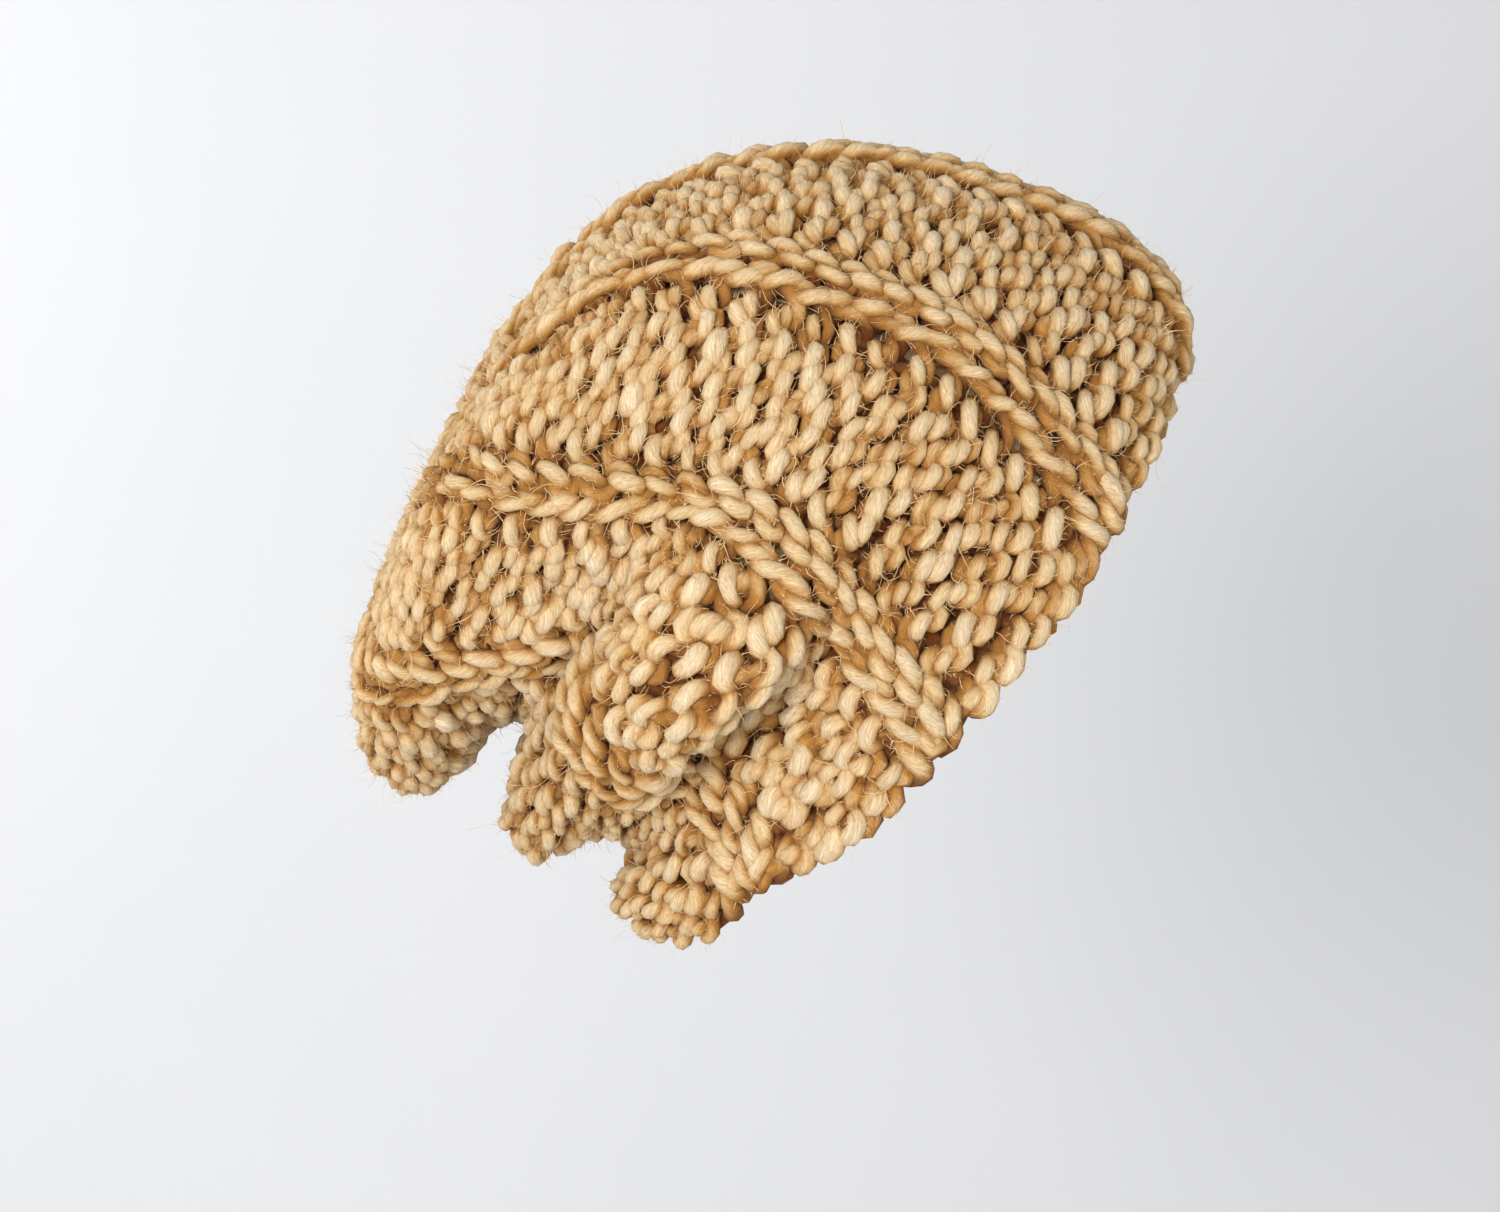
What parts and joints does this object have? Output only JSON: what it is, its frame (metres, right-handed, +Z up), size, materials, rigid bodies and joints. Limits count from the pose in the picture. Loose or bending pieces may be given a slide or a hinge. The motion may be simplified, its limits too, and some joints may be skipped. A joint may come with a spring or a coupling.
{
  "type": "slouchy knitted beanie",
  "caption": "Soft slouchy hat knitted in very thick tan yarn, with raised ridges from brim to crown and its slack folded into lobes over the nape, in its worn shape.",
  "frame": {"origin": "centre of the head opening, in the plane of the brim", "axes": "+X is the way the wearer looks, +Z is up, and +Y is the wearer's left. The slack hangs to -X."},
  "size_m": [0.2379, 0.1941, 0.2242],
  "materials": {
    "wool": "matte, slightly fuzzy two-ply yarn"
  },
  "bodies": {
    "root": {"knitted_hat": "wool"}
  },
  "joints": []
}
